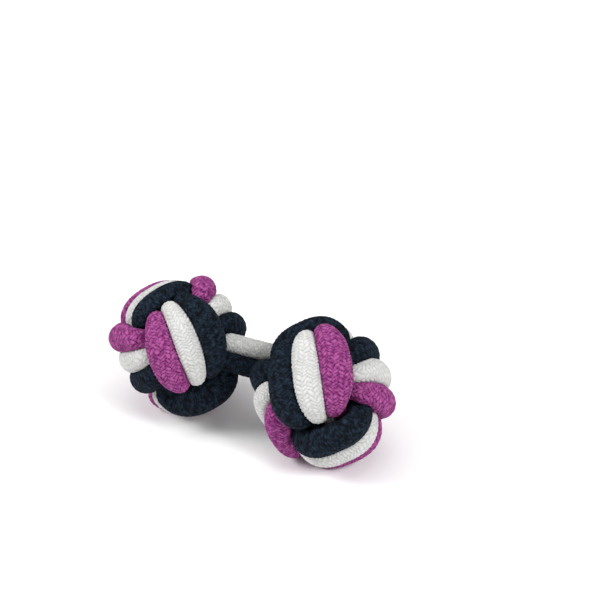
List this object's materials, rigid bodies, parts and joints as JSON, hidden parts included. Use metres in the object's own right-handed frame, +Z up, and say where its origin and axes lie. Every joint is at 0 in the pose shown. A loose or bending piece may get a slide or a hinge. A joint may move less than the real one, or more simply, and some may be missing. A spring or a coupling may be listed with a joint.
{
  "type": "cufflink",
  "caption": "Soft cufflink of the silk knot kind: a ball knot woven from braided cords at each end of a short cord shank.",
  "frame": {"origin": "middle of the bounding box, on the surface that the link lies on", "axes": "+X from the left knot to the right knot, +Y to the back, +Z up; front is -Y"},
  "size_m": [0.0242, 0.0113, 0.0119],
  "materials": {
    "navy_cord": "fine braid of dark navy yarn, matte with a slight sheen",
    "white_cord": "fine braid of white yarn, matte with a slight sheen",
    "magenta_cord": "fine braid of magenta yarn, matte with a slight sheen"
  },
  "bodies": {
    "root": {"left_front_navy": "navy_cord", "left_front_white": "white_cord", "left_front_magenta": "magenta_cord", "left_side_navy": "navy_cord", "left_side_white": "white_cord", "left_side_magenta": "magenta_cord", "left_top_navy": "navy_cord", "left_top_white": "white_cord", "left_top_magenta": "magenta_cord", "right_front_navy": "navy_cord", "right_front_white": "white_cord", "right_front_magenta": "magenta_cord", "right_side_navy": "navy_cord", "right_side_white": "white_cord", "right_side_magenta": "magenta_cord", "right_top_navy": "navy_cord", "right_top_white": "white_cord", "right_top_magenta": "magenta_cord", "shank_navy": "navy_cord", "shank_white": "white_cord"}
  },
  "joints": []
}
